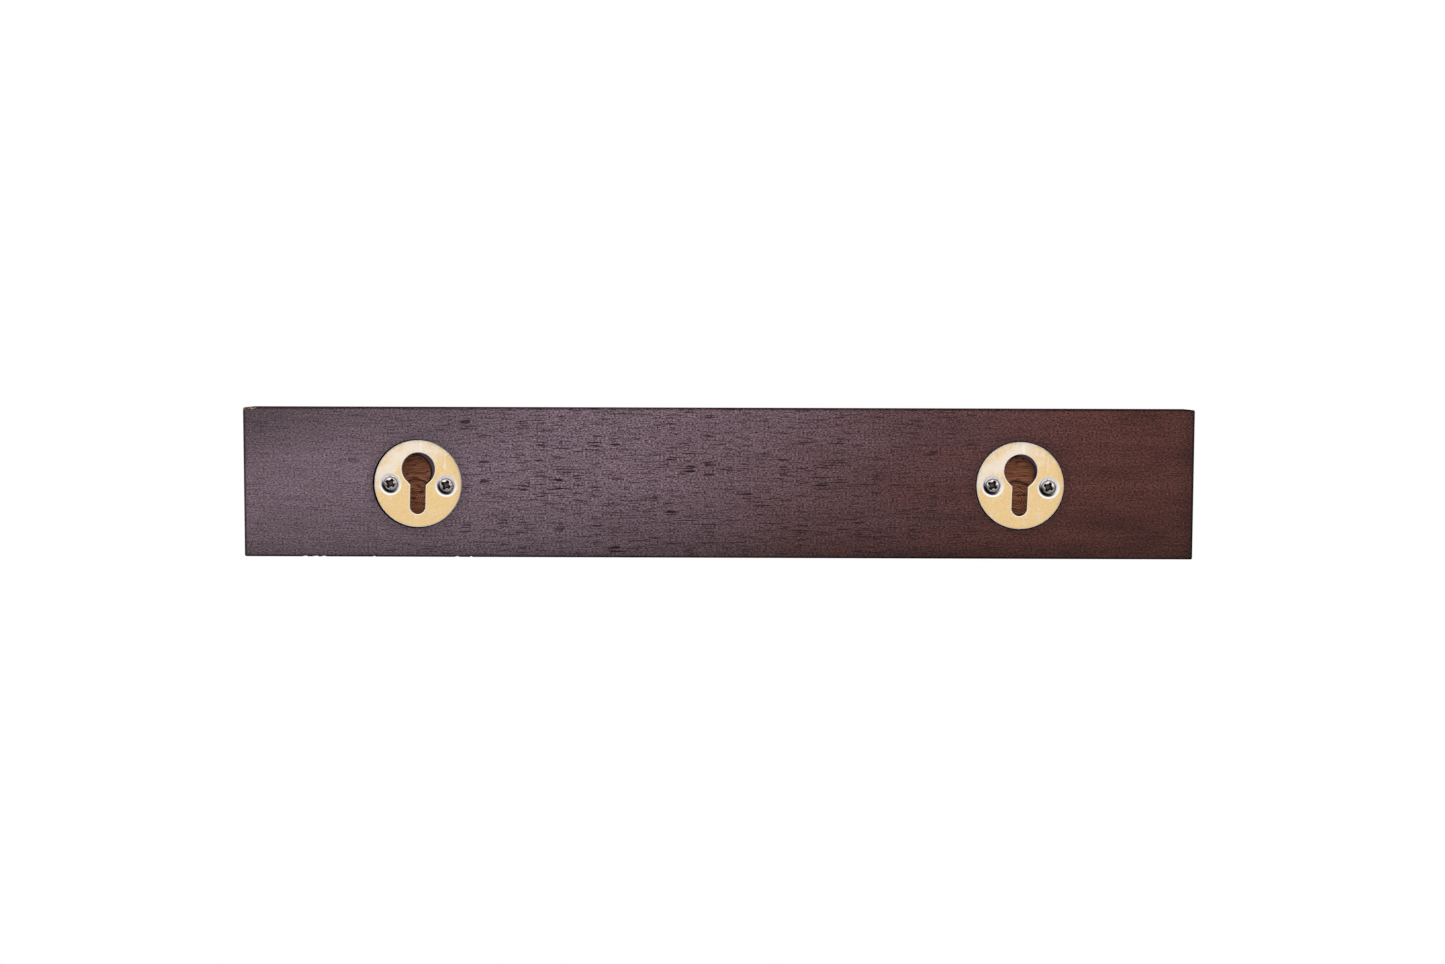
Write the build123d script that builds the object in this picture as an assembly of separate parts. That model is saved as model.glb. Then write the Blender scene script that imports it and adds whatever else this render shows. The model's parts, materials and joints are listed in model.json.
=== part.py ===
"""A small wooden wall shelf, in its hanging position.

A shelf board is dowelled to the front of a back rail, and two wooden brackets stand under it.
Two round keyhole plates are let into the rail's rear face, and the shelf hangs from two wall screws.

Frame: +X runs along the shelf, +Y points to the wall and +Z is up.
The origin is the centre of the rail's rear face, which lies against the wall. All sizes are in mm.
"""

from build123d import *

import os

# Boards
LENGTH = 381.0
RAIL_HEIGHT = 60.0
RAIL_THICKNESS = 18.0
BOARD_THICKNESS = 15.0
BOARD_DEPTH = 96.0
ARRIS = 0.7  # rounding left by sanding on every outer edge
FRONT_EDGE_RADIUS = 3.0  # rounding along the shelf board's front edge

# Brackets
BRACKET_THICKNESS = 18.0
BRACKET_HEIGHT = 41.0
BRACKET_REACH = 74.0  # how far a bracket runs forward from the rail
BRACKET_NOSE = 13.0  # height of the upright front end
BRACKET_TOE = 13.0  # depth of the flat lower end, beside the rail
BRACKET_SAG = 9.0  # how far the curve between nose and toe is hollowed behind a straight line
BRACKET_INSET = 45.0  # from the end of the shelf to the bracket's middle

# Dowels and the film of glue round each of them
GLUE_LINE = 0.05
DOWEL_CHAMFER = 0.6
BOARD_DOWEL_RADIUS = 4.0
BOARD_DOWEL_LENGTH = 30.0
BOARD_DOWEL_COUNT = 4
BOARD_DOWEL_INSET = 20.5  # from the end of the shelf to the outermost dowel
BRACKET_DOWEL_RADIUS = 3.0
RAIL_DOWEL_LENGTH = 22.0
TOP_DOWEL_LENGTH = 20.0
RAIL_DOWEL_DROP = 25.0  # below the board's underside
TOP_DOWEL_SETBACKS = (20.0, 52.0)  # in front of the rail

# Keyhole plates
PLATE_RADIUS = 17.5
PLATE_THICKNESS = 1.5
PLATE_GAP = 0.4  # round the plate, in its counterbore
COUNTERBORE_SHIFT = -0.2  # along X, of the counterbore from the plate in it
PLATE_RECESS = 0.8  # from the rail's rear face to the plate's
PLATE_SPACING = 241.8
PLATE_PAIR_SHIFT = 0.3  # the pair sits this far towards +X
PLATE_HEIGHT = 0.5  # plate centre above the rail's mid-height
PLATE_TURN = -1.6  # degrees that each plate sits turned in its counterbore
ENTRY_RADIUS = 6.75
ENTRY_DROP = 5.8  # entry hole's centre below the plate's
SLOT_HALF_WIDTH = 3.2
SLOT_RISE = 9.2  # centre of the slot's closed end above the plate's
NECK_LENGTH = 1.4  # the bevel from the entry hole into the slot
PLATE_BREAK = 0.25  # chamfer round the plate's rim and keyhole

# Screws that hold the plates
SCREW_SPACING = 22.4
SCREW_RISE = 0.5  # the line of the screw holes above the plate's centre
SCREW_LENGTH = 13.0
SHANK_RADIUS = 1.6
HEAD_RADIUS = 3.25
HEAD_RIM = 0.45  # height of the head's straight rim
HEAD_DOME = 0.95  # rise of the raised head above its rim
SINK_RADIUS = 4.3  # countersink at the plate's face
SINK_GAP = 0.03
SCREW_SHIFT = (0.05, -0.2)  # X and Z: each screw bears on one side of its plate hole
TIP_LENGTH = 3.0
CROSS_WIDTH = 1.2
CROSS_SPAN = 4.1
CROSS_DEPTH = 1.9
CROSS_TAPER = 14.0  # degrees
CROSS_TURNS = (58.0, 61.0)  # degrees, on the screw at -X and the one at +X

# Bores for the wall screws' heads, behind each plate
HEAD_BORE_RADIUS = 7.1
HEAD_BORE_SHIFTS = {"left": -2.2, "right": -0.4}  # the bores were drilled off the slot's line
LOWER_BORE_DROP = 4.4
LOWER_BORE_DEPTH = 9.0
UPPER_BORE_RISE = 6.2
UPPER_BORE_DEPTH = 10.0

# Worked out from the above
BOARD_TOP = RAIL_HEIGHT / 2
BOARD_UNDERSIDE = BOARD_TOP - BOARD_THICKNESS
BOARD_MIDDLE = BOARD_TOP - BOARD_THICKNESS / 2
PLATE_FACE = -PLATE_RECESS
PLATE_BACK = PLATE_FACE - PLATE_THICKNESS
SINK_PLAY = (SCREW_SHIFT[0] ** 2 + SCREW_SHIFT[1] ** 2) ** 0.5
HEAD_RIM_TOP = PLATE_FACE - (SINK_RADIUS - SINK_PLAY - HEAD_RADIUS) + HEAD_RIM
SIDES = {"left": -1, "right": 1}  # seen from the front


def facing_wall(shape, y=0.0):
    """Turns a shape drawn with +Z as its way out so that +Y is, and puts its datum at y."""
    return Pos(0, y, 0) * Rot(-90, 0, 0) * shape


def bored(radius, depth, x, z, top=1.0):
    """A cutter for a blind hole drilled from the rail's rear face."""
    hole = Cylinder(radius, depth + top, align=(Align.CENTER, Align.CENTER, Align.MAX))
    return Pos(x, top, z) * Rot(-90, 0, 0) * hole


def plate_place(side):
    """The place of a plate's centre on the rail's rear face, turned as the plate is."""
    x = PLATE_PAIR_SHIFT + SIDES[side] * PLATE_SPACING / 2
    return Pos(x, 0, PLATE_HEIGHT) * Rot(0, PLATE_TURN, 0)


def dowel_xs():
    """X positions of the dowels between rail and shelf board."""
    first = -LENGTH / 2 + BOARD_DOWEL_INSET
    step = -2 * first / (BOARD_DOWEL_COUNT - 1)
    return [first + step * i for i in range(BOARD_DOWEL_COUNT)]


def dowel(radius, length):
    """A dowel pin with chamfered ends, along Z and centred."""
    pin = Cylinder(radius, length)
    return chamfer(pin.edges().filter_by(GeomType.CIRCLE), DOWEL_CHAMFER)


def dowel_hole(radius, length):
    """The hole for a dowel, with room for glue all round and at its ends."""
    return Cylinder(radius + GLUE_LINE, length + 1.0)


def dowels():
    """Every dowel as (node name, place, radius, length)."""
    places = []
    for number, x in enumerate(dowel_xs(), start=1):
        place = Pos(x, -RAIL_THICKNESS - 3.0, BOARD_MIDDLE) * Rot(90, 0, 0)
        places.append((f"board_dowel_{number}", place, BOARD_DOWEL_RADIUS, BOARD_DOWEL_LENGTH))
    for side, sign in SIDES.items():
        x = sign * (LENGTH / 2 - BRACKET_INSET)
        rail_place = Pos(x, -RAIL_THICKNESS - 1.0, BOARD_UNDERSIDE - RAIL_DOWEL_DROP) * Rot(90, 0, 0)
        places.append((f"rail_dowel_{side}", rail_place, BRACKET_DOWEL_RADIUS, RAIL_DOWEL_LENGTH))
        for row, setback in zip(("rear", "front"), TOP_DOWEL_SETBACKS):
            top_place = Pos(x, -RAIL_THICKNESS - setback, BOARD_UNDERSIDE)
            name = f"bracket_dowel_{row}_{side}"
            places.append((name, top_place, BRACKET_DOWEL_RADIUS, TOP_DOWEL_LENGTH))
    return places


def cut_dowel_holes(board):
    """Drills every dowel hole that reaches into a board."""
    for _, place, radius, length in dowels():
        board -= place * dowel_hole(radius, length)
    return board


def hole_places(side):
    """The places of a plate's two screw holes, on the rail's rear face."""
    halves = [sign * SCREW_SPACING / 2 for sign in SIDES.values()]
    return [plate_place(side) * Pos(half, 0, SCREW_RISE) for half in halves]


def screw_places(side):
    """The places of a plate's two screws, a little to one side of its holes."""
    shift = Pos(SCREW_SHIFT[0], 0, SCREW_SHIFT[1])
    return [place * shift for place in hole_places(side)]


def countersink(top):
    """A 90-degree cone, of radius top at the plate's face, that narrows to the shank."""
    bottom = SHANK_RADIUS + SINK_GAP
    cone = Cone(bottom, top, top - bottom, align=(Align.CENTER, Align.CENTER, Align.MAX))
    return facing_wall(cone, PLATE_FACE)


def back_rail():
    """The rail, with a counterbore and two head bores for each plate, and its screw pilots."""
    rail = Pos(0, -RAIL_THICKNESS / 2, 0) * Box(LENGTH, RAIL_THICKNESS, RAIL_HEIGHT)
    rail = fillet(rail.edges(), ARRIS)
    for side in SIDES:
        place = plate_place(side)
        rail -= place * bored(PLATE_RADIUS + PLATE_GAP, -PLATE_BACK, COUNTERBORE_SHIFT, 0)
        shift = HEAD_BORE_SHIFTS[side]
        rail -= place * bored(HEAD_BORE_RADIUS, LOWER_BORE_DEPTH, shift, -LOWER_BORE_DROP)
        rail -= place * bored(HEAD_BORE_RADIUS, UPPER_BORE_DEPTH, shift, UPPER_BORE_RISE)
        for screw_place in screw_places(side):
            rail -= screw_place * countersink(SINK_RADIUS - SINK_PLAY + SINK_GAP)
            rail -= screw_place * bored(SHANK_RADIUS + SINK_GAP, SCREW_LENGTH + 2.0, 0, 0)
    return cut_dowel_holes(rail)


def shelf_board():
    """The board, butted to the rail's front face with their top faces level."""
    middle = Pos(0, -RAIL_THICKNESS - BOARD_DEPTH / 2, BOARD_MIDDLE)
    board = middle * Box(LENGTH, BOARD_DEPTH, BOARD_THICKNESS)
    front = board.edges().filter_by(Axis.X).sort_by(Axis.Y)[:2]
    board = fillet(front, FRONT_EDGE_RADIUS)
    rear = board.faces().sort_by(Axis.Y)[-1]
    ends = board.faces().filter_by(Axis.X)
    board = fillet(rear.edges().filter_by(Axis.X) + [e for f in ends for e in f.edges()], ARRIS)
    return cut_dowel_holes(board)


def bracket(side):
    """A bracket with an upright nose, a flat toe and a hollow curve between them."""
    rear, front = -RAIL_THICKNESS, -RAIL_THICKNESS - BRACKET_REACH
    top, bottom = BOARD_UNDERSIDE, BOARD_UNDERSIDE - BRACKET_HEIGHT
    nose, toe = Vector(front, top - BRACKET_NOSE), Vector(rear - BRACKET_TOE, bottom)
    along = (toe - nose).normalized()
    hollow = (nose + toe) / 2 + Vector(-along.Y, along.X) * BRACKET_SAG
    outline = Curve() + [
        Line((rear, top), (front, top)),
        Line((front, top), nose),
        ThreePointArc(nose, hollow, toe),
        Line(toe, (rear, bottom)),
        Line((rear, bottom), (rear, top)),
    ]
    side_plane = Plane(origin=(0, 0, 0), x_dir=(0, 1, 0), z_dir=(1, 0, 0))
    body = extrude(side_plane * make_face(outline), BRACKET_THICKNESS / 2, both=True)
    body = fillet(body.edges().filter_by(Axis.X, reverse=True), ARRIS)
    body = Pos(SIDES[side] * (LENGTH / 2 - BRACKET_INSET), 0, 0) * body
    return cut_dowel_holes(body)


def keyhole_outline():
    """The keyhole: a round entry hole, a bevelled neck and a slot with a round end, on a face."""
    entry = Pos(0, -ENTRY_DROP) * Circle(ENTRY_RADIUS)
    slot = Pos(0, SLOT_RISE / 2) * Rectangle(2 * SLOT_HALF_WIDTH, SLOT_RISE)
    slot += Pos(0, SLOT_RISE) * Circle(SLOT_HALF_WIDTH)
    mouth = SLOT_HALF_WIDTH + NECK_LENGTH
    mouth_z = -ENTRY_DROP + (ENTRY_RADIUS**2 - mouth**2) ** 0.5
    neck = Polygon(
        (-mouth, mouth_z),
        (mouth, mouth_z),
        (SLOT_HALF_WIDTH, mouth_z + NECK_LENGTH),
        (-SLOT_HALF_WIDTH, mouth_z + NECK_LENGTH),
        align=None,
    )
    base = Pos(0, -ENTRY_DROP / 2) * Rectangle(2 * SLOT_HALF_WIDTH, ENTRY_DROP)
    return entry + slot + neck + base


def keyhole_plate(side):
    """A round plate with a keyhole and two countersunk screw holes."""
    blank = extrude(Circle(PLATE_RADIUS) - keyhole_outline(), PLATE_THICKNESS)
    outer_face = blank.faces().sort_by(Axis.Z)[-1]
    blank = chamfer(outer_face.edges(), PLATE_BREAK)
    # drawn with its own top towards -Y, which the turn to the wall brings to +Z
    plate = facing_wall(Rot(0, 0, 180) * blank, PLATE_BACK)
    plate = plate_place(side) * plate
    for hole_place in hole_places(side):
        plate -= hole_place * countersink(SINK_RADIUS + SINK_GAP)
    return plate


def plate_screw():
    """A raised-head screw with a cross recess: its axis along Z, its head's rim top at z = 0."""
    neck = HEAD_RIM + HEAD_RADIUS - SHANK_RADIUS
    profile = Curve() + [
        ThreePointArc((0, HEAD_DOME), (HEAD_RADIUS * 0.55, HEAD_DOME * 0.72), (HEAD_RADIUS, 0)),
        Polyline(
            (HEAD_RADIUS, 0),
            (HEAD_RADIUS, -HEAD_RIM),
            (SHANK_RADIUS, -neck),
            (SHANK_RADIUS, TIP_LENGTH - SCREW_LENGTH),
            (0.2, -SCREW_LENGTH),
            (0, -SCREW_LENGTH),
            (0, HEAD_DOME),
        ),
    ]
    body = revolve(Plane.XZ * make_face(profile), Axis.Z)
    arm = Rot(180, 0, 0) * extrude(Rectangle(CROSS_SPAN, CROSS_WIDTH), CROSS_DEPTH, taper=CROSS_TAPER)
    for turn in (0, 90):
        body -= Pos(0, 0, HEAD_DOME + 0.1) * Rot(0, 0, turn) * arm
    return body


def placed_screw(place, cross_turn):
    """A screw seated in its countersink, its cross turned as the driver left it."""
    return place * facing_wall(Rot(0, 0, cross_turn) * plate_screw(), HEAD_RIM_TOP)


def all_parts():
    """Every piece of the shelf by its node name."""
    parts = {"back_rail": back_rail(), "shelf_board": shelf_board()}
    for side in SIDES:
        parts[f"bracket_{side}"] = bracket(side)
        parts[f"keyhole_plate_{side}"] = keyhole_plate(side)
        for screw_side, place, turn in zip(SIDES, screw_places(side), CROSS_TURNS):
            parts[f"plate_screw_{side}_{screw_side}"] = placed_screw(place, turn)
    for name, place, radius, length in dowels():
        parts[name] = place * dowel(radius, length)
    return parts


os.makedirs("parts", exist_ok=True)
for node, part in all_parts().items():
    export_step(part, f"parts/{node}.step")
    print(node, round(part.volume, 1))
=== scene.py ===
"""Looks for a small dark wooden wall shelf that hangs from two keyhole plates.

The CAD frame hangs the right way up, with +Z up and +Y towards the wall. The photograph shows the shelf's
back while it stands upside down, so the camera is behind it, with its own up along -Z.
Lengths are in metres, except where a name ends in _MM or _mm.
"""

import json
import math

import bmesh
import bpy
from mathutils import Matrix, Vector, noise


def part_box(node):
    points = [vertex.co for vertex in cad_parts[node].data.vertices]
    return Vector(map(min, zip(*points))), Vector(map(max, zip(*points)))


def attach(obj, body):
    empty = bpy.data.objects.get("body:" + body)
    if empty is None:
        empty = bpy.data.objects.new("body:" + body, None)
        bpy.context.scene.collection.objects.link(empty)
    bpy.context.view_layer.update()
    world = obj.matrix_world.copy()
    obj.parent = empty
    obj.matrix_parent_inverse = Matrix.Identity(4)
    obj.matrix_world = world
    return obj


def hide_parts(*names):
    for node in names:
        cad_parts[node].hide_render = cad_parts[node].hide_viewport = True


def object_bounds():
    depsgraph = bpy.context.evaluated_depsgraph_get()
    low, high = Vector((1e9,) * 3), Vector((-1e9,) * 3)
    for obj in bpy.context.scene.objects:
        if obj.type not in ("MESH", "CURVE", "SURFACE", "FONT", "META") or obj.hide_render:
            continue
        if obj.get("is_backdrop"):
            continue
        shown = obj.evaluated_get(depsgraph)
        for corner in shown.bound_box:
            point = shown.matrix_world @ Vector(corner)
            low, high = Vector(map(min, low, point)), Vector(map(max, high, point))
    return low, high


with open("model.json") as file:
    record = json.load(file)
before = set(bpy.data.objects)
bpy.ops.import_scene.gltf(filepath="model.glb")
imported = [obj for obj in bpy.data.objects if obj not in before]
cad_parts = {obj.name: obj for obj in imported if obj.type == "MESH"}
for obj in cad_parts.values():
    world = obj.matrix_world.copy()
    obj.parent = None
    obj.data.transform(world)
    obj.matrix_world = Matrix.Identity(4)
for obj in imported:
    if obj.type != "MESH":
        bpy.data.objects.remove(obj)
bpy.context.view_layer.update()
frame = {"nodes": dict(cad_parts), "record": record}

MM = 0.001
nodes = frame["nodes"]
record = frame["record"]
mounts = {m["name"]: m for m in record["mounts"]}
SIDES = ("left", "right")

# Colours, linear
STAIN = (0.078, 0.0250, 0.0212)
STAIN_WARM = (0.096, 0.0330, 0.0245)
STAIN_DEEP = (0.052, 0.0165, 0.0145)
STAIN_IN_PORES = (0.013, 0.0045, 0.0045)
# Painted sheen on the rail's rear face: the reflection of a broad light, painted into its colour, with
# stain showing in spots
PAINTED_SHEEN = (0.152, 0.103, 0.127)
PAINTED_SHEEN_FAINT = (0.092, 0.048, 0.055)
SHEEN_SPOT_STAIN = (0.062, 0.031, 0.026)
BORED_WOOD = (0.60, 0.245, 0.130)
BORED_WOOD_DARK = (0.130, 0.045, 0.026)
# Stain with a painted sheen, on the bore walls and round the head bores
STAIN_WITH_PAINTED_SHEEN = (0.085, 0.058, 0.068)
BORE_SHADOW = (0.012, 0.006, 0.006)
TORN_WOOD = (0.40, 0.29, 0.20)
BEECH = (0.55, 0.36, 0.20)
BEECH_PALE = (0.66, 0.46, 0.28)
BEECH_FLECK = (0.30, 0.16, 0.08)
ZINC_YELLOW = (0.99, 0.71, 0.33)
ZINC_DULL = (0.88, 0.62, 0.31)
ZINC_SCUFFED = (0.99, 0.87, 0.74)
BARE_ZINC_AND_HIGHLIGHT = (1.0, 0.97, 0.93)
NICKEL = (0.72, 0.65, 0.66)
GRIME = (0.10, 0.075, 0.07)
# Black also serves as painted shadow beside the screw heads and on their rims. The near-black recess walls
# are painted shade, and the paler recess floor is a painted highlight
RECESS_BLACK = (0.008, 0.006, 0.007)
RECESS_WALL = (0.02, 0.015, 0.016)
RECESS_FLOOR = (0.22, 0.17, 0.17)

# The wood. Depths are from the rail's rear face.
PITH_MM = (-46.0, -31.0)  # the middle of the growth rings, in the two directions across a board
GROWTH_RING_MM = 2.4
REAR_EDGE_MM = -0.8  # the rail's rear face and its rounded edges are behind this
SEATS_MM = (-17.0, -0.5)  # the depths that all of the plates' seats and bores lie between

# The plates' seats and head bores. Floors are from the rear face, and the rest is from a plate's centre.
PLATE_MIDDLE_MM = 0.5  # above the rail's mid-height
ENTRY_DROP_MM = 5.8
PLATE_REACH_MM = 19.0  # a circle round the plate that takes in all of its seat
COUNTERBORE_FLOOR_MM = -2.3
LOWER_BORE_FLOOR_MM = -9.0
DEEP_BORE_FLOOR_MM = -10.0
BORE_RADIUS_MM = 7.1
BORE_SHIFTS_MM = {"left": -2.2, "right": -0.4}
DEEP_BORE_RISE_MM = 6.2
LOWER_BORE_DROP_MM = 4.4
CUT_RING_MM = 0.85  # from one ring of the cut wood to the next
CUT_ARC_RISE_MM = 15.0  # from the deeper bore's middle up to the middle of the other bore's faint arcs
SCRATCHES_MM = (
    # offset along X from the plate's centre, half width, lowest and highest z, strength
    (1.1, 0.34, -17.0, -12.4, 1.0),
    (10.8, 0.22, -12.8, -5.2, 0.6),
)

# The plates' screws. Heights on a screw are from its head's rim.
SCREW_SPACING_MM = 22.4
SCREW_RISE_MM = 0.5
SCREW_TILT_MM = 0.31  # how much higher the +X screw is than the pair's middle
SCREW_LENGTH_MM = 12.9
THREAD_PITCH_MM = 1.25
THREAD_STEP_MM = 0.11
CORE_RADIUS_MM = 1.15
CREST_RADIUS_MM = 1.58
TIP_MM = 3.0
HEAD_DOME_MM = 0.95
HEAD_GROOVE_MM = 2.75
LEDGE_MM = 0.10
DOME_STEPS = 8
SEGMENTS = 56
CROSS_TURNS_DEG = {"left": 58, "right": 61}


# ---------------------------------------------------------------- shader helpers


class Shader:
    """A material's node tree, with a short call for each kind of node it needs."""

    def __init__(self, name):
        self.material = bpy.data.materials.new(name)
        self.material.use_nodes = True
        self.tree = self.material.node_tree
        self.surface = self.tree.nodes["Principled BSDF"]

    def node(self, kind, **settings):
        made = self.tree.nodes.new(kind)
        for key, value in settings.items():
            setattr(made, key, value)
        return made

    def feed(self, socket, value):
        if isinstance(value, bpy.types.NodeSocket):
            self.tree.links.new(value, socket)
        elif isinstance(value, tuple) and len(value) == 3 and socket.type == "RGBA":
            socket.default_value = (*value, 1.0)
        elif value is not None:
            socket.default_value = value

    def place_mm(self):
        """The surface point in the row frame, in millimetres."""
        coordinates = self.node("ShaderNodeTexCoord")
        return self.scaled(coordinates.outputs["Object"], (1 / MM,) * 3)

    def facing(self):
        """The surface's outward direction in the row frame, as X, Y and Z."""
        return self.parts(self.node("ShaderNodeTexCoord").outputs["Normal"])

    def scaled(self, vector, scale, shift=(0, 0, 0)):
        made = self.node("ShaderNodeMapping", vector_type="POINT")
        self.feed(made.inputs["Vector"], vector)
        made.inputs["Scale"].default_value = scale
        made.inputs["Location"].default_value = shift
        return made.outputs["Vector"]

    def parts(self, vector):
        made = self.node("ShaderNodeSeparateXYZ")
        self.feed(made.inputs[0], vector)
        return made.outputs["X"], made.outputs["Y"], made.outputs["Z"]

    def joined(self, x, y, z):
        made = self.node("ShaderNodeCombineXYZ")
        for socket, value in zip(made.inputs, (x, y, z)):
            self.feed(socket, value)
        return made.outputs[0]

    def math(self, operation, *values):
        made = self.node("ShaderNodeMath", operation=operation)
        for socket, value in zip(made.inputs, values):
            self.feed(socket, value)
        return made.outputs[0]

    def product(self, first, *others):
        """Multiplies any number of values."""
        for other in others:
            first = self.math("MULTIPLY", first, other)
        return first

    def total(self, *weighted):
        """Adds up (value, weight) pairs."""
        result = 0.0
        for value, weight in weighted:
            result = self.math("MULTIPLY_ADD", value, weight, result)
        return result

    def distance(self, a, b):
        """The length of the vector whose two parts are a and b."""
        return self.math("SQRT", self.total((self.product(a, a), 1.0), (self.product(b, b), 1.0)))

    def noise(self, vector, scale=1.0, detail=2.0, roughness=0.5):
        made = self.node("ShaderNodeTexNoise")
        self.feed(made.inputs["Vector"], vector)
        made.inputs["Scale"].default_value = scale
        made.inputs["Detail"].default_value = detail
        made.inputs["Roughness"].default_value = roughness
        return made.outputs["Fac"]

    def step(self, value, low, high, out_low=0.0, out_high=1.0):
        """Goes smoothly from out_low to out_high as value goes from low to high."""
        made = self.node("ShaderNodeMapRange", interpolation_type="SMOOTHSTEP")
        settings = {"From Min": low, "From Max": high, "To Min": out_low, "To Max": out_high}
        self.feed(made.inputs["Value"], value)
        for key, setting in settings.items():
            self.feed(made.inputs[key], setting)
        return made.outputs["Result"]

    def near(self, value, centre, reach):
        """One where value is at centre, falling to nothing at reach from it."""
        away = self.math("ABSOLUTE", self.math("SUBTRACT", value, centre))
        return self.step(away, reach * 0.4, reach, 1.0, 0.0)

    def mix(self, factor, a, b):
        made = self.node("ShaderNodeMix", data_type="RGBA")
        self.feed(made.inputs["Factor"], factor)
        colour_a, colour_b = [socket for socket in made.inputs if socket.type == "RGBA"]
        self.feed(colour_a, a)
        self.feed(colour_b, b)
        return [socket for socket in made.outputs if socket.type == "RGBA"][0]

    def shaded(self, colour, tone):
        """The colour, made darker or lighter by tone."""
        made = self.node("ShaderNodeVectorMath", operation="SCALE")
        self.feed(made.inputs["Vector"], colour)
        self.feed(made.inputs["Scale"], tone)
        return made.outputs["Vector"]

    def bump(self, height, distance_mm, strength=1.0, under=None):
        made = self.node("ShaderNodeBump")
        made.inputs["Strength"].default_value = strength
        made.inputs["Distance"].default_value = distance_mm * MM
        self.feed(made.inputs["Height"], height)
        self.feed(made.inputs["Normal"], under)
        return made.outputs["Normal"]

    def turned(self, normal, towards):
        """The surface direction, turned towards another vector by that vector's length."""
        added = self.node("ShaderNodeVectorMath", operation="ADD")
        self.feed(added.inputs[0], normal)
        self.feed(added.inputs[1], towards)
        unit = self.node("ShaderNodeVectorMath", operation="NORMALIZE")
        self.feed(unit.inputs[0], added.outputs["Vector"])
        return unit.outputs["Vector"]

    def finish(self, **sockets):
        """Feeds the shader's named sockets, with underscores for spaces, and returns the material."""
        for key, value in sockets.items():
            self.feed(self.surface.inputs[key.replace("_", " ")], value)
        return self.material


# ---------------------------------------------------------------- places on the rail


def from_plate(s, x, z):
    """The place in the rear view from the nearer plate's centre, and whether that plate is the +X one."""
    left, right = (mounts[f"keyhole_entry_{side}"]["pos_m"][0] / MM for side in SIDES)
    on_right = s.math("GREATER_THAN", x, 0.0)
    plate_x = s.math("MULTIPLY_ADD", on_right, right - left, left)
    return s.math("SUBTRACT", x, plate_x), s.math("SUBTRACT", z, PLATE_MIDDLE_MM), on_right


def from_screw(s, across, rise):
    """The place in the rear view, measured from the centre of a plate's nearer screw."""
    side = s.math("SIGN", across)
    from_x = s.math("MULTIPLY_ADD", side, -SCREW_SPACING_MM / 2, across)
    from_z = s.math("MULTIPLY_ADD", side, -SCREW_TILT_MM, s.math("SUBTRACT", rise, SCREW_RISE_MM))
    return from_x, from_z


# ---------------------------------------------------------------- wood


def grain(shader, place, along_mm, across_mm, detail=2.0, shift=(0, 0, 0)):
    """Noise drawn out along the fibres, which run along X."""
    stretched = shader.scaled(place, (1 / along_mm, 1 / across_mm, 1 / across_mm), shift)
    return shader.noise(stretched, 1.0, detail, 0.55)


def fibre_place(shader, place, along):
    """The place with its first axis along the fibres, which sway a little instead of running straight."""
    x, y, z = shader.parts(place)
    if along == "Y":
        x, y = y, x
    sway = shader.noise(shader.scaled(place, (1 / 70, 1 / 35, 1 / 35)), 1.0, 2.0)
    return shader.joined(x, y, shader.math("MULTIPLY_ADD", sway, 5.0, z))


def pore_pattern(s, place):
    """Open pores: short dark dashes along the fibres, gathered in loose clusters."""
    clusters = s.step(s.noise(s.scaled(place, (1 / 26, 1 / 8, 1 / 8)), 1.0, 1.0), 0.40, 0.62)
    long_pores = s.step(grain(s, place, 7.5, 0.52, 0.0), 0.62, 0.69)
    short_pores = s.step(grain(s, place, 3.4, 0.42, 0.0, shift=(31, 7, 11)), 0.66, 0.76)
    gathered = s.product(long_pores, s.math("MULTIPLY_ADD", clusters, 0.55, 0.45))
    return s.math("MAXIMUM", gathered, s.product(short_pores, 0.7))


def stain_colour(s, place):
    """The dark stain, warmer and deeper in slow bands along the fibres."""
    bands = grain(s, place, 150, 9, 3.0)
    slow = grain(s, place, 60, 14, 1.0, shift=(5, 3, 17))
    warm = s.mix(s.step(bands, 0.35, 0.70), STAIN, STAIN_WARM)
    return s.mix(s.step(slow, 0.50, 0.75), warm, STAIN_DEEP)


def painted_sheen_colour(s, x, y, z, place, colour):
    """Painted sheen on the rail's rear face: pale violet towards -X, gone towards +X, with brown spots."""
    drift = s.noise(s.scaled(place, (1 / 45, 1 / 12, 1 / 12)), 1.0, 3.0)
    along = s.total((x, 1.0), (z, 0.9), (drift, 70.0))
    faint_sheen = s.step(along, 30.0, 200.0, 1.0, 0.0)
    full_sheen = s.step(along, -40.0, 118.0, 1.0, 0.0)
    rear = s.math("GREATER_THAN", y, REAR_EDGE_MM)
    faintly_sheened = s.mix(s.product(faint_sheen, rear, 0.9), colour, PAINTED_SHEEN_FAINT)
    with_painted_light = s.mix(s.product(full_sheen, rear), faintly_sheened, PAINTED_SHEEN)
    spots = s.step(grain(s, place, 6.5, 1.9, 1.0, shift=(3, 19, 8)), 0.57, 0.72)
    in_middle = s.step(x, -130.0, -30.0, 0.25, 1.0)
    return s.mix(s.product(spots, full_sheen, rear, in_middle, 0.65), with_painted_light, SHEEN_SPOT_STAIN)


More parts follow.
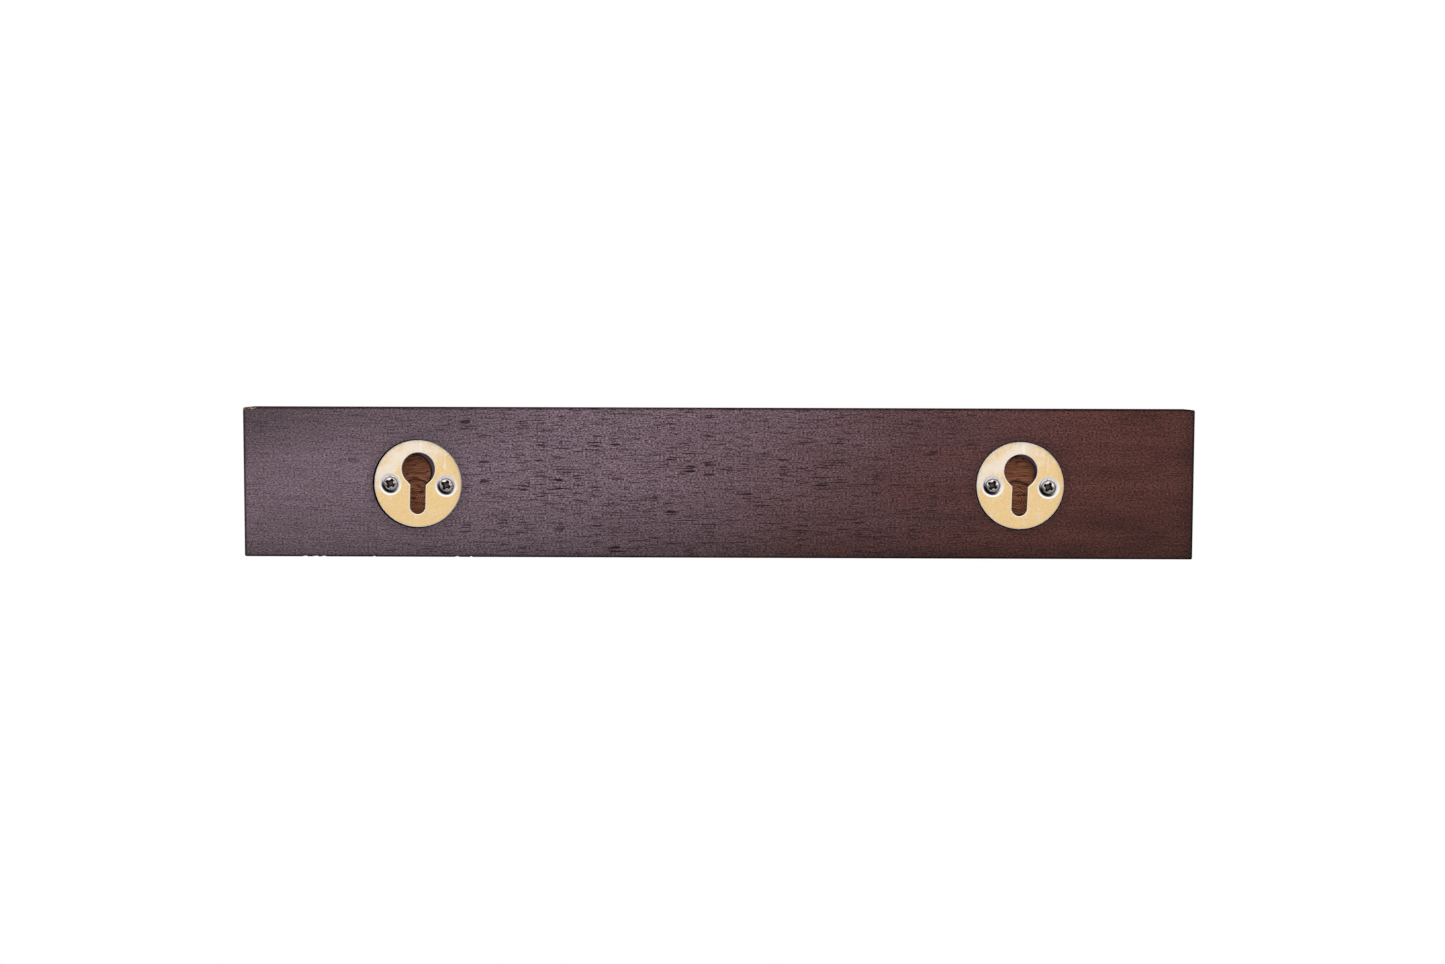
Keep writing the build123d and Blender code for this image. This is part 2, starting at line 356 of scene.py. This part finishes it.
def rear_tone_with_painted_shade(s, x, y, z):
    """How the rear face darkens towards the shelf's top edge, its ends, its rims and round the plates. The
    slope towards the top edge is painted light, and the dark rims and underside are painted shade.
    """
    # painted light: lighter towards the shelf's bottom edge, darker towards its top edge
    painted_light_slope = s.step(z, -7.0, 40.0, 1.15, 0.70)
    top_edge = s.step(z, 22.0, 30.0, 1.0, 0.80)
    dark_corner = s.product(s.step(x, -110.0, -60.0, 0.24, 0.0), s.step(z, -26.0, -6.0, 1.0, 0.0))
    right_end = s.product(s.step(x, 182.0, 190.0, 1.0, 0.70), s.step(x, 145.0, 175.0, 1.0, 0.92))
    left_end = s.step(s.total((x, 1.0), (z, 1.6)), -232.0, -170.0, 0.70, 1.0)
    # painted shade on the rounded rims
    top_rim_shade = s.step(z, 28.8, 29.5, 1.0, 0.30)
    end_rim_shade = s.step(s.math("ABSOLUTE", x), 189.2, 189.8, 1.0, 0.30)
    across, rise, _ = from_plate(s, x, z)
    away = s.distance(across, rise)
    round_plate = s.step(away, 17.5, 23.0, 0.76, 1.0)
    corner = s.math("SUBTRACT", 1.0, dark_corner)
    tone = s.product(painted_light_slope, top_edge, corner, right_end, left_end, top_rim_shade, end_rim_shade, round_plate)
    rear = s.math("GREATER_THAN", y, REAR_EDGE_MM)
    # painted shade on the rail's underside
    underside = s.step(z, -29.8, -29.0, 0.32, 1.0)
    return s.product(s.math("MULTIPLY_ADD", s.math("SUBTRACT", tone, 1.0), rear, 1.0), underside)


def end_grain(s, x, y, z, along):
    """Growth rings cut across, which show on the ends of a board."""
    first, second = (y, z) if along == "X" else (x, z)
    from_pith = [s.math("SUBTRACT", value, pith) for value, pith in zip((first, second), PITH_MM)]
    radius = s.distance(*from_pith)
    wobble = s.noise(s.joined(0.0, first, second), 0.08, 2.0)
    phase = s.math("MULTIPLY_ADD", radius, 2 * math.pi / GROWTH_RING_MM, s.product(wobble, 9.0))
    rings = s.math("SINE", phase)
    facing_x, facing_y, _ = s.facing()
    square_on = s.step(s.math("ABSOLUTE", facing_x if along == "X" else facing_y), 0.7, 0.9)
    return rings, square_on


def stained_wood(name, along, with_painted_light=False, gloss=0.16):
    """Open-pored hardwood under a dark satin stain. With painted light, it is the rail's rear face, with a
    painted sheen and painted shade.
    """
    s = Shader(name)
    own_place = s.place_mm()
    x, y, z = s.parts(own_place)
    place = fibre_place(s, own_place, along)
    pores = pore_pattern(s, place)
    streaks = grain(s, place, 26, 0.8, 3.0)
    fibres = grain(s, place, 3.0, 0.35, 3.0)
    granules = s.noise(s.scaled(place, (1 / 0.82, 1 / 0.48, 1 / 0.48)), 1.0, 2.0, 0.6)

    colour = stain_colour(s, place)
    grainy = 4.2
    open_pores = 0.9
    tone = 1.0
    # the rail's rear face gets a painted sheen and painted shade
    if with_painted_light:
        colour = painted_sheen_colour(s, x, y, z, place, colour)
        grainy = s.step(x, -150.0, -60.0, 4.3, 5.5)
        open_pores = s.product(s.step(x, -160.0, -70.0, 0.30, 1.0), s.step(x, 60.0, 130.0, 1.0, 0.35))
        tone = rear_tone_with_painted_shade(s, x, y, z)
    speckle = s.math("MULTIPLY_ADD", s.math("SUBTRACT", granules, 0.5), grainy, 1.0)
    streaked = s.step(streaks, 0.28, 0.72, 0.84, 1.14)
    rings, square_on = end_grain(s, x, y, z, along)
    ringed = s.math("MULTIPLY_ADD", s.math("MULTIPLY_ADD", rings, 0.22, -0.30), square_on, 1.0)
    colour = s.shaded(colour, s.product(speckle, streaked, ringed, tone))
    colour = s.mix(s.product(pores, open_pores), colour, STAIN_IN_PORES)

    roughness = s.step(s.total((fibres, 0.6), (granules, 0.4)), 0.3, 0.7, 0.42, 0.56)
    fine = s.bump(s.total((fibres, 1.0), (granules, 0.9)), 0.06, 0.6)
    normal = s.bump(s.math("SUBTRACT", 1.0, pores), 0.12, 0.9, fine)
    return s.finish(Base_Color=colour, Roughness=roughness, Normal=normal, Specular_IOR_Level=gloss)


def bored_wood():
    """Cut wood inside the head bores: rings in the deeper bore, and grain with faint arcs in the other."""
    s = Shader("bored_wood")
    place = s.place_mm()
    x, y, z = s.parts(place)
    across, rise, on_right = from_plate(s, x, z)
    left, right = (BORE_SHIFTS_MM[side] for side in SIDES)
    from_middle = s.math("SUBTRACT", across, s.math("MULTIPLY_ADD", on_right, right - left, left))
    deep = s.math("LESS_THAN", y, (LOWER_BORE_FLOOR_MM + DEEP_BORE_FLOOR_MM) / 2)
    arc_centre = s.math("MULTIPLY_ADD", deep, -CUT_ARC_RISE_MM, DEEP_BORE_RISE_MM + CUT_ARC_RISE_MM)
    from_arc = s.math("SUBTRACT", rise, arc_centre)
    radius = s.distance(from_middle, from_arc)
    wobble = s.noise(place, 0.42, 3.0, 0.6)
    wobbled = s.math("MULTIPLY_ADD", wobble, 1.7, radius)
    rings = s.math("SINE", s.math("MULTIPLY", wobbled, 2 * math.pi / CUT_RING_MM))
    fibres = grain(s, place, 3.5, 0.35, 3.0)
    streaks = grain(s, place, 7.0, 0.9, 2.0)
    ring_weight = s.math("MULTIPLY_ADD", deep, 0.10, 0.07)
    tone = s.total((rings, ring_weight), (fibres, 0.65), (streaks, 0.60))
    colour = s.mix(s.step(tone, 0.36, 0.92), BORED_WOOD_DARK, BORED_WOOD)
    blots = s.step(grain(s, place, 2.6, 0.6, 0.0, shift=(9, 2, 4)), 0.66, 0.76)
    colour = s.mix(s.product(blots, 0.8), colour, BORE_SHADOW)
    from_rim = s.distance(from_middle, s.math("SUBTRACT", rise, DEEP_BORE_RISE_MM))
    rim_line = s.near(from_rim, BORE_RADIUS_MM + 0.3, 0.5)
    colour = s.mix(s.product(rim_line, s.math("SUBTRACT", 1.0, deep), 0.8), colour, BORE_SHADOW)
    # The walls: black painted shade low in the bore, and stain with a painted sheen higher up
    wall = s.step(s.math("ABSOLUTE", s.facing()[1]), 0.3, 0.7, 1.0, 0.0)
    wall_painted_light = s.mix(s.step(y, -8.6, -7.0), BORE_SHADOW, STAIN_WITH_PAINTED_SHEEN)
    colour = s.mix(wall, colour, wall_painted_light)
    height = s.total((rings, 0.3), (fibres, 1.0))
    normal = s.bump(height, 0.12, 0.8)
    return s.finish(Base_Color=colour, Roughness=0.7, Normal=normal, Specular_IOR_Level=0.10)


def shadowed_wood():
    """The counterbore's wall and floor: black with dust round the plate, and stain with a painted sheen
    round the head bores.
    """
    s = Shader("counterbore_wood")
    place = s.place_mm()
    dust = s.noise(place, 1.8, 3.0, 0.6)
    x, _, z = s.parts(place)
    across, rise, _ = from_plate(s, x, z)
    from_bore_x = s.math("SUBTRACT", across, BORE_SHIFTS_MM["left"])
    from_bore_z = s.math("ADD", rise, LOWER_BORE_DROP_MM)
    away = s.distance(from_bore_x, from_bore_z)
    outside_bore = s.step(away, BORE_RADIUS_MM + 0.3, BORE_RADIUS_MM + 0.9)
    beside_bore = s.product(outside_bore, s.step(away, 11.0, 12.0, 1.0, 0.0))
    black = s.mix(s.step(dust, 0.55, 0.80, 0.0, 0.5), BORE_SHADOW, STAIN_DEEP)
    # stain with a painted sheen round the head bores
    colour = s.mix(beside_bore, black, STAIN_WITH_PAINTED_SHEEN)
    normal = s.bump(dust, 0.1, 0.6)
    return s.finish(Base_Color=colour, Roughness=0.85, Normal=normal, Specular_IOR_Level=0.05)


def torn_wood():
    """Pale torn wood where an edge has chipped, with stain left in its hollows."""
    s = Shader("torn_wood")
    place = s.place_mm()
    torn = s.noise(place, 1.5, 3.0, 0.75)
    fibres = grain(s, place, 2.0, 0.35, 2.0)
    pale = s.step(s.total((torn, 0.6), (fibres, 0.4)), 0.46, 0.60)
    colour = s.mix(pale, STAIN_DEEP, TORN_WOOD)
    normal = s.bump(torn, 0.3, 0.9)
    return s.finish(Base_Color=colour, Roughness=0.75, Normal=normal, Specular_IOR_Level=0.2)


def beech():
    """Bare beech with short flecks, for the dowels."""
    s = Shader("beech")
    place = s.place_mm()
    flecks = s.step(s.noise(place, 1.4, 2.0), 0.55, 0.66)
    bands = s.noise(place, 0.3, 3.0)
    colour = s.mix(s.step(bands, 0.3, 0.7), BEECH, BEECH_PALE)
    flecked = s.mix(s.product(flecks, 0.5), colour, BEECH_FLECK)
    return s.finish(Base_Color=flecked, Roughness=0.6, Normal=s.bump(bands, 0.08, 0.6))


# ---------------------------------------------------------------- metal


def scratch_marks(s, across, rise):
    """Straight scratches down the plate, where bare zinc shows."""
    marks = 0.0
    for offset, half_width, low, high, strength in SCRATCHES_MM:
        line = s.near(across, offset, half_width)
        span = s.near(rise, (low + high) / 2, (high - low) / 2)
        marks = s.math("MAXIMUM", marks, s.product(line, s.step(span, 0.0, 0.2), strength))
    return marks


def scuffs(s, place, across, rise):
    """Chalky scuffs over the half of the plate that has the entry hole."""
    clouds = s.noise(place, 0.20, 4.0, 0.65)
    grit = s.noise(place, 1.7, 3.0, 0.75)
    slanted = s.total((across, 0.64), (rise, 0.77))
    rubbed_band = s.near(slanted, -12.2, 3.6)
    towards_entry = s.step(s.total((across, 0.35), (rise, 1.0)), -13.0, 4.0, 0.17, 0.0)
    cloud = s.total((clouds, 0.8), (grit, 0.55), (towards_entry, 1.0), (rubbed_band, 0.12))
    return s.step(cloud, 0.68, 1.02, 0.0, 0.95), grit


def unlit_side(s, from_x, from_z, low, high):
    """Grows from nothing to one across a screw, towards its unlit side, where painted shade goes."""
    return s.step(s.total((from_x, -0.6), (from_z, 0.8)), low, high)


def under_heads(s, across, rise):
    """Painted shadow beside each screw's head, and a painted highlight on the ring of its countersink, as
    two masks.
    """
    from_x, from_z = from_screw(s, across, rise)
    away = s.distance(from_x, from_z)
    # painted shadow of the head on its unlit side
    painted_head_shadow = s.product(s.step(away, 3.5, 4.0, 1.0, 0.0), unlit_side(s, from_x, from_z, -1.2, 2.4))
    # painted highlight on the countersink's ring, fainter towards -Z
    painted_countersink_highlight = s.product(s.near(away, 4.15, 0.55), s.step(from_z, -3.0, 1.5, 0.35, 1.0))
    return painted_head_shadow, painted_countersink_highlight


def yellow_zinc():
    """Yellow-passivated zinc: satin, cloudy, scuffed and scratched, with a painted highlight along its
    edges and round the countersinks, and painted shadow beside the screw heads.
    """
    s = Shader("yellow_zinc")
    place = s.place_mm()
    x, _, z = s.parts(place)
    across, rise, _ = from_plate(s, x, z)
    scuffed, grit = scuffs(s, place, across, rise)
    fine = s.noise(place, 2.0, 2.0, 0.7)
    base = s.mix(s.step(fine, 0.35, 0.65), ZINC_DULL, ZINC_YELLOW)
    colour = s.mix(scuffed, base, ZINC_SCUFFED)
    marks = scratch_marks(s, across, rise)
    shadow_beside_heads, painted_countersink_highlight = under_heads(s, across, rise)
    facing_y = s.facing()[1]
    # painted highlight along the plate's edges
    edge = s.product(s.step(facing_y, 0.25, 0.5), s.step(facing_y, 0.85, 0.95, 1.0, 0.0))
    bright = s.math("MAXIMUM", s.math("MAXIMUM", marks, edge), s.product(painted_countersink_highlight, 0.8))
    colour = s.mix(bright, colour, BARE_ZINC_AND_HIGHLIGHT)
    # painted shadow beside the screw heads
    colour = s.mix(shadow_beside_heads, colour, RECESS_BLACK)
    metallic = s.math("MULTIPLY_ADD", bright, -0.4, 0.5)
    roughness = s.step(grit, 0.3, 0.7, 0.38, 0.52)
    normal = s.bump(s.total((grit, 1.0), (fine, 0.6), (marks, -1.5)), 0.02, 0.5)
    rolled = s.turned(normal, s.joined(0.0, s.product(edge, 1.6), 0.0))
    return s.finish(Base_Color=colour, Metallic=metallic, Roughness=roughness, Normal=rolled)


def screw_steel():
    """Nickel-plated steel with smears, darker in its groove, and with painted shade along the unlit side of
    its rim.
    """
    s = Shader("screw_steel")
    place = s.place_mm()
    grit = s.noise(place, 2.4, 3.0, 0.75)
    smears = s.noise(place, 1.1, 2.0, 0.6)
    x, _, z = s.parts(place)
    across, rise, _ = from_plate(s, x, z)
    from_x, from_z = from_screw(s, across, rise)
    away = s.distance(from_x, from_z)
    shade = unlit_side(s, from_x, from_z, 0.4, 2.6)
    groove = s.near(away, HEAD_GROOVE_MM, 0.35)
    smeared = s.step(s.total((grit, 0.5), (smears, 0.5)), 0.46, 0.60, 0.0, 0.8)
    smears_and_groove = s.math("MAXIMUM", smeared, s.product(groove, 0.85))
    colour = s.mix(smears_and_groove, NICKEL, GRIME)
    # painted shade along the unlit side of the head's rim
    rim_shade = s.product(shade, s.step(away, 1.9, 2.6))
    colour = s.mix(rim_shade, colour, RECESS_BLACK)
    roughness = s.step(grit, 0.3, 0.7, 0.16, 0.34)
    return s.finish(Base_Color=colour, Metallic=1.0, Roughness=roughness, Normal=s.bump(grit, 0.05, 0.7))


def recess_metal(name, colour):
    """The inside of a screw's cross recess: the colour, mottled with black."""
    s = Shader(name)
    black_mottle = s.noise(s.place_mm(), 3.0, 2.0)
    shade = s.mix(black_mottle, RECESS_BLACK, colour)
    return s.finish(Base_Color=shade, Metallic=0.3, Roughness=0.6, Specular_IOR_Level=0.2)


# ---------------------------------------------------------------- mesh work


def new_piece(name, mesh, *materials):
    """Links a new object, with its materials on its mesh."""
    for material in materials:
        mesh.materials.append(material)
    piece = bpy.data.objects.new(name, mesh)
    bpy.context.scene.collection.objects.link(piece)
    return piece


def cut(piece, cutter):
    """Subtracts cutter from piece for good, and keeps the cutter's materials on the cut."""
    modifier = piece.modifiers.new("cut", "BOOLEAN")
    modifier.operation = "DIFFERENCE"
    modifier.solver = "EXACT"
    modifier.material_mode = "TRANSFER"
    modifier.object = cutter
    graph = bpy.context.evaluated_depsgraph_get()
    done = bpy.data.meshes.new_from_object(piece.evaluated_get(graph))
    piece.modifiers.clear()
    piece.data = done
    bpy.data.objects.remove(cutter)


def chip_cutter(name, centre, radii, seed, material):
    """A jagged lump that bites a chip out of a board."""
    mesh = bpy.data.meshes.new(name)
    lump = bmesh.new()
    bmesh.ops.create_icosphere(lump, subdivisions=3, radius=1.0)
    for vertex in lump.verts:
        rough = noise.noise(vertex.co * 2.4 + Vector((seed, 0, 0))) * 0.45
        direction = vertex.co * (1.0 + rough)
        vertex.co = Vector(centre) + Vector(d * r for d, r in zip(direction, radii))
    lump.to_mesh(mesh)
    lump.free()
    return new_piece(name, mesh, material)


def chips(low, high):
    """Places and radii of the chips: a broken corner, a bruised corner and nicks along the top edge."""
    broken = Vector((low.x, high.y, low.z))
    bruised = Vector((low.x, high.y, high.z))
    places = [
        (broken + Vector((-0.9, 1.2, -0.6)) * MM, (3.1, 2.4, 2.4)),
        (broken + Vector((3.9, 0.5, -0.5)) * MM, (3.2, 1.2, 1.3)),
        (broken + Vector((7.6, 0.4, -0.7)) * MM, (1.8, 1.0, 1.1)),
        (broken + Vector((-0.5, 0.5, 4.2)) * MM, (1.1, 1.2, 1.9)),
        (bruised + Vector((0.9, 0.6, 0.5)) * MM, (2.2, 1.3, 1.2)),
    ]
    for along, size in ((24.2, 1.2), (28.6, 1.5), (31.8, 1.1), (52.0, 0.7), (85.5, 0.9), (91.2, 0.7)):
        places.append((bruised + Vector((along, 0.2, 0.45)) * MM, (size, 4.0, 1.05)))
    return places


def rail_face_material(face, high, entries):
    """Which of the rail's materials a face has: 0 wood, 1 the plates' seats, 2 the bores, 3 dull edges."""
    away = min(math.hypot(face.center.x - e.x, face.center.z - e.z - ENTRY_DROP_MM * MM) for e in entries)
    depth_mm = (face.center.y - high.y) / MM
    deepest, shallowest = SEATS_MM
    if away < PLATE_REACH_MM * MM and deepest < depth_mm < shallowest:
        return 1 if depth_mm > COUNTERBORE_FLOOR_MM - 0.1 else 2
    rear_edge = depth_mm > -1.5 and face.normal.y < 0.97
    underside = face.normal.z < -0.5
    return 3 if away > PLATE_REACH_MM * MM and (rear_edge or underside) else 0


def worn_rail(wood, dark, bored, dull, torn):
    """The back rail with chipped edges, a dark seat round each plate and cut wood inside its bores."""
    low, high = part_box("back_rail")
    rail = new_piece("worn_back_rail", nodes["back_rail"].data.copy())
    rail.data.materials.clear()
    for material in (wood, dark, bored, dull):
        rail.data.materials.append(material)
    entries = [Vector(mounts[f"keyhole_entry_{side}"]["pos_m"]) for side in SIDES]
    for face in rail.data.polygons:
        face.material_index = rail_face_material(face, high, entries)
    for number, (centre, radii) in enumerate(chips(low, high)):
        cut(rail, chip_cutter(f"chip_{number}", centre, [r * MM for r in radii], number * 3.7, torn))
    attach(rail, "root")
    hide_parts("back_rail")


def neck_depth(head_radius):
    """How far below the head's rim the cone meets the shank."""
    return head_radius - CREST_RADIUS_MM + 0.45


def shank_heights(head_radius):
    """The heights of the rings of the threaded shank, from the tip up."""
    top = neck_depth(head_radius) + 0.14
    count = int((SCREW_LENGTH_MM - top) / THREAD_STEP_MM)
    return [-SCREW_LENGTH_MM + THREAD_STEP_MM * i for i in range(count)]


def thread_radius(height, angle):
    """The thread's radius at a height and an angle: a sharp crest on a tapering core."""
    turn = (height / THREAD_PITCH_MM - angle / (2 * math.pi)) % 1.0
    crest = max(0.0, 1.0 - abs(turn - 0.5) / 0.28)
    taper = min(1.0, (height + SCREW_LENGTH_MM + 0.05) / TIP_MM)
    return taper * (CORE_RADIUS_MM + (CREST_RADIUS_MM - CORE_RADIUS_MM) * crest)


def head_rings(head_radius):
    """Heights and radii of the head, from its cone over its rim to its dome, and the crown's height."""
    neck = neck_depth(head_radius)
    rings = [(-neck - 0.12, CORE_RADIUS_MM), (-neck, CREST_RADIUS_MM)]
    rings += [(-0.50, head_radius - 0.05), (-0.42, head_radius - 0.01), (-0.10, head_radius - 0.01)]
    rings += [(-0.02, head_radius - 0.05), (0.04, head_radius - 0.16), (0.06, head_radius - 0.42)]
    dome_radius = head_radius - 0.58
    rings += [(0.05, head_radius - 0.50), (LEDGE_MM, dome_radius)]
    for step in range(1, DOME_STEPS):
        angle = step / DOME_STEPS * math.pi / 2
        height = LEDGE_MM + (HEAD_DOME_MM - 0.12) * math.sin(angle)
        rings.append((height, dome_radius * math.cos(angle) ** 0.9))
    return rings, HEAD_DOME_MM - 0.02


def vertex_ring(shape, height, radius_at):
    """A ring of vertices at one height, whose radius may change with the angle."""
    angles = [2 * math.pi * i / SEGMENTS for i in range(SEGMENTS)]
    radii = [radius_at(angle) for angle in angles]
    return [shape.verts.new((r * math.cos(a), r * math.sin(a), height)) for a, r in zip(angles, radii)]


def screw_mesh(name, head_radius):
    """A threaded, raised-head screw along +Z, with its head's rim at z = 0, in millimetres."""
    shape = bmesh.new()
    heads, crown = head_rings(head_radius)
    loops = []
    for height in shank_heights(head_radius):
        loops.append(vertex_ring(shape, height, lambda angle: thread_radius(height, angle)))
    for height, radius in heads:
        loops.append(vertex_ring(shape, height, lambda angle: radius))
    for below, above in zip(loops, loops[1:]):
        for i in range(SEGMENTS):
            j = (i + 1) % SEGMENTS
            shape.faces.new((below[i], below[j], above[j], above[i]))
    tip = shape.verts.new((0, 0, -SCREW_LENGTH_MM - 0.05))
    top = shape.verts.new((0, 0, crown))
    for i in range(SEGMENTS):
        j = (i + 1) % SEGMENTS
        shape.faces.new((tip, loops[0][j], loops[0][i]))
        shape.faces.new((loops[-1][i], loops[-1][j], top))
    for face in shape.faces:
        face.smooth = True
    mesh = bpy.data.meshes.new(name)
    shape.to_mesh(mesh)
    shape.free()
    return mesh


def cross_outline(half_span, half_width, corner):
    """A cross with bevelled inner corners and slightly pointed arms."""
    shoulder, tip = half_width * 0.92, half_width * 0.4
    arm = [
        (half_width + corner, -half_width),
        (half_span * 0.86, -shoulder),
        (half_span, -tip),
        (half_span, tip),
        (half_span * 0.86, shoulder),
        (half_width + corner, half_width),
    ]
    points = []
    for quarter in range(4):
        cosine = math.cos(quarter * math.pi / 2)
        sine = math.sin(quarter * math.pi / 2)
        points += [(x * cosine - y * sine, x * sine + y * cosine) for x, y in arm]
    return points


def cross_cutter(name, top_mm, turn, walls, floor):
    """The cross recess: it narrows as it goes down, and its floor catches a little light."""
    shape = bmesh.new()
    levels = (
        # height, half the cross's span, half an arm's width, bevel of the inner corners
        (top_mm + 0.4, 2.25, 0.80, 0.42),
        (top_mm - 0.5, 2.05, 0.70, 0.38),
        (top_mm - 1.5, 0.95, 0.36, 0.20),
    )
    rings = []
    for height, half_span, half_width, corner in levels:
        outline = cross_outline(half_span, half_width, corner)
        rings.append([shape.verts.new((x, y, height)) for x, y in outline])
    count = len(rings[0])
    for upper, lower in zip(rings, rings[1:]):
        for i in range(count):
            j = (i + 1) % count
            shape.faces.new((upper[j], upper[i], lower[i], lower[j]))
    shape.faces.new(rings[0])
    bottom = shape.faces.new(list(reversed(rings[-1])))
    # the floor's paler material is a painted highlight
    bottom.material_index = 1
    bmesh.ops.rotate(shape, verts=shape.verts, matrix=Matrix.Rotation(turn, 3, "Z"))
    bmesh.ops.recalc_face_normals(shape, faces=shape.faces)
    mesh = bpy.data.meshes.new(name)
    shape.to_mesh(mesh)
    shape.free()
    return new_piece(name, mesh, walls, floor)


def seated_screws(steel, walls, floor):
    """A threaded screw in the place of each plain one, with its cross turned as the driver left it."""
    for side in SIDES:
        for screw_side in SIDES:
            node = f"plate_screw_{side}_{screw_side}"
            low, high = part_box(node)
            head_radius = (high.x - low.x) / 2 / MM
            name = f"seated_screw_{side}_{screw_side}"
            screw = new_piece(name, screw_mesh(name, head_radius), steel)
            turn = math.radians(CROSS_TURNS_DEG[screw_side])
            cut(screw, cross_cutter(f"{name}_cross", HEAD_DOME_MM, turn, walls, floor))
            rim = Vector(((low.x + high.x) / 2, high.y - HEAD_DOME_MM * MM, (low.z + high.z) / 2))
            towards_wall = Matrix.Rotation(-math.pi / 2, 4, "X")
            screw.data.transform(Matrix.Translation(rim) @ towards_wall @ Matrix.Scale(MM, 4))
            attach(screw, "root")
            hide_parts(node)


# ---------------------------------------------------------------- finishes on the CAD pieces


def dress_nodes(finishes, own_finishes):
    """Gives each CAD node the material of its slot in the record, or one of its own."""
    for subpart in record["subparts"]:
        name = subpart["node"]
        piece = nodes[name]
        piece.data.materials.clear()
        piece.data.materials.append(own_finishes.get(name, finishes[subpart["material_slot"]]))


# ---------------------------------------------------------------- camera, lights and floor


def photograph_camera():
    """The photograph's view: square to the rail's rear face, from slightly above its upturned underside."""
    target = Vector((1.75, 0.0, -0.62)) * MM
    distance = 0.75
    yaw, pitch, roll = (math.radians(a) for a in (0.28, 3.70, 0.172))
    back = Vector((math.sin(yaw) * math.cos(pitch), math.cos(yaw) * math.cos(pitch), -math.sin(pitch)))
    right = (-back).cross(Vector((0, 0, -1))).normalized()
    up = right.cross(-back)
    rolled_right = right * math.cos(roll) + up * math.sin(roll)
    rolled_up = up * math.cos(roll) - right * math.sin(roll)
    turn = Matrix((rolled_right, rolled_up, back)).transposed().to_4x4()
    data = bpy.data.cameras.new("camera")
    data.lens = 46.61
    data.sensor_width = 36.0
    camera = bpy.data.objects.new("camera", data)
    camera.matrix_world = Matrix.Translation(target + back * distance) @ turn
    bpy.context.scene.collection.objects.link(camera)
    bpy.context.scene.camera = camera


def softbox(name, place, aim, width, height, watts, colour=(1, 1, 1)):
    data = bpy.data.lights.new(name, "AREA")
    data.shape = "RECTANGLE"
    data.size, data.size_y = width, height
    data.energy = watts
    data.color = colour
    light = bpy.data.objects.new(name, data)
    light.location = place
    light.rotation_mode = "QUATERNION"
    light.rotation_quaternion = (Vector(aim) - Vector(place)).to_track_quat("-Z", "Y")
    bpy.context.scene.collection.objects.link(light)


def white_world(seen, lit):
    """A white background that lights the shelf more weakly than it shows."""
    world = bpy.data.worlds.new("studio")
    bpy.context.scene.world = world
    world.use_nodes = True
    tree = world.node_tree
    background = tree.nodes["Background"]
    background.inputs["Color"].default_value = (1, 1, 1, 1)
    path = tree.nodes.new("ShaderNodeLightPath")
    strength = tree.nodes.new("ShaderNodeMapRange")
    strength.inputs["To Min"].default_value = lit
    strength.inputs["To Max"].default_value = seen
    tree.links.new(path.outputs["Is Camera Ray"], strength.inputs["Value"])
    tree.links.new(strength.outputs["Result"], background.inputs["Strength"])


def white_floor(drop, glow):
    """A pale floor some way below the hanging shelf."""
    half = 6.0
    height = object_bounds()[0].z - drop
    corners = [(-half, -half, height), (half, -half, height), (half, half, height), (-half, half, height)]
    mesh = bpy.data.meshes.new("floor")
    mesh.from_pydata(corners, [], [(0, 1, 2, 3)])
    s = Shader("floor")
    mottle = s.noise(s.place_mm(), 0.004, 2.0)
    white = s.mix(mottle, (0.86, 0.86, 0.86), (0.88, 0.88, 0.88))
    s.finish(Base_Color=white, Roughness=0.9, Emission_Color=(1, 1, 1), Emission_Strength=glow)
    new_piece("floor", mesh, s.material)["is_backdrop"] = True


def studio():
    """Soft light from behind the shelf, where the photograph was taken, and from the front."""
    white_world(seen=1.0, lit=0.45)
    white_floor(drop=0.27, glow=1.0)
    middle = (0, 0, 0)
    softbox("wide_behind", (0.0, 1.5, -0.75), middle, 2.2, 1.0, 26, (0.97, 0.98, 1.0))
    softbox("key_behind", (0.75, 1.0, -0.95), middle, 0.45, 0.45, 9)
    softbox("key_front", (-0.9, -1.1, 1.1), middle, 0.9, 0.9, 15)
    softbox("fill_front", (1.2, -1.0, 0.4), middle, 0.9, 0.9, 7)


def colour_management():
    view = bpy.context.scene.view_settings
    view.view_transform = "Standard"
    view.look = "None"
    view.exposure = 0.0
    view.gamma = 1.0


def main():
    colour_management()
    photograph_camera()
    studio()
    finishes = {
        "stained_wood": stained_wood("stained_wood", "X"),
        "dowel_wood": beech(),
        "yellow_zinc": yellow_zinc(),
        "screw_steel": screw_steel(),
    }
    bracket_wood = stained_wood("bracket_wood", "Y")
    dress_nodes(finishes, {f"bracket_{side}": bracket_wood for side in SIDES})
    # The rail's rear face, and its matt rims and underside, with painted sheen and painted shade
    painted_light_wood = stained_wood("painted_light_wood", "X", with_painted_light=True)
    dull_wood = stained_wood("dull_edge_wood", "X", with_painted_light=True, gloss=0.0)
    worn_rail(painted_light_wood, shadowed_wood(), bored_wood(), dull_wood, torn_wood())
    walls = recess_metal("recess_walls", RECESS_WALL)
    floor = recess_metal("recess_floor", RECESS_FLOOR)
    seated_screws(finishes["screw_steel"], walls, floor)


main()
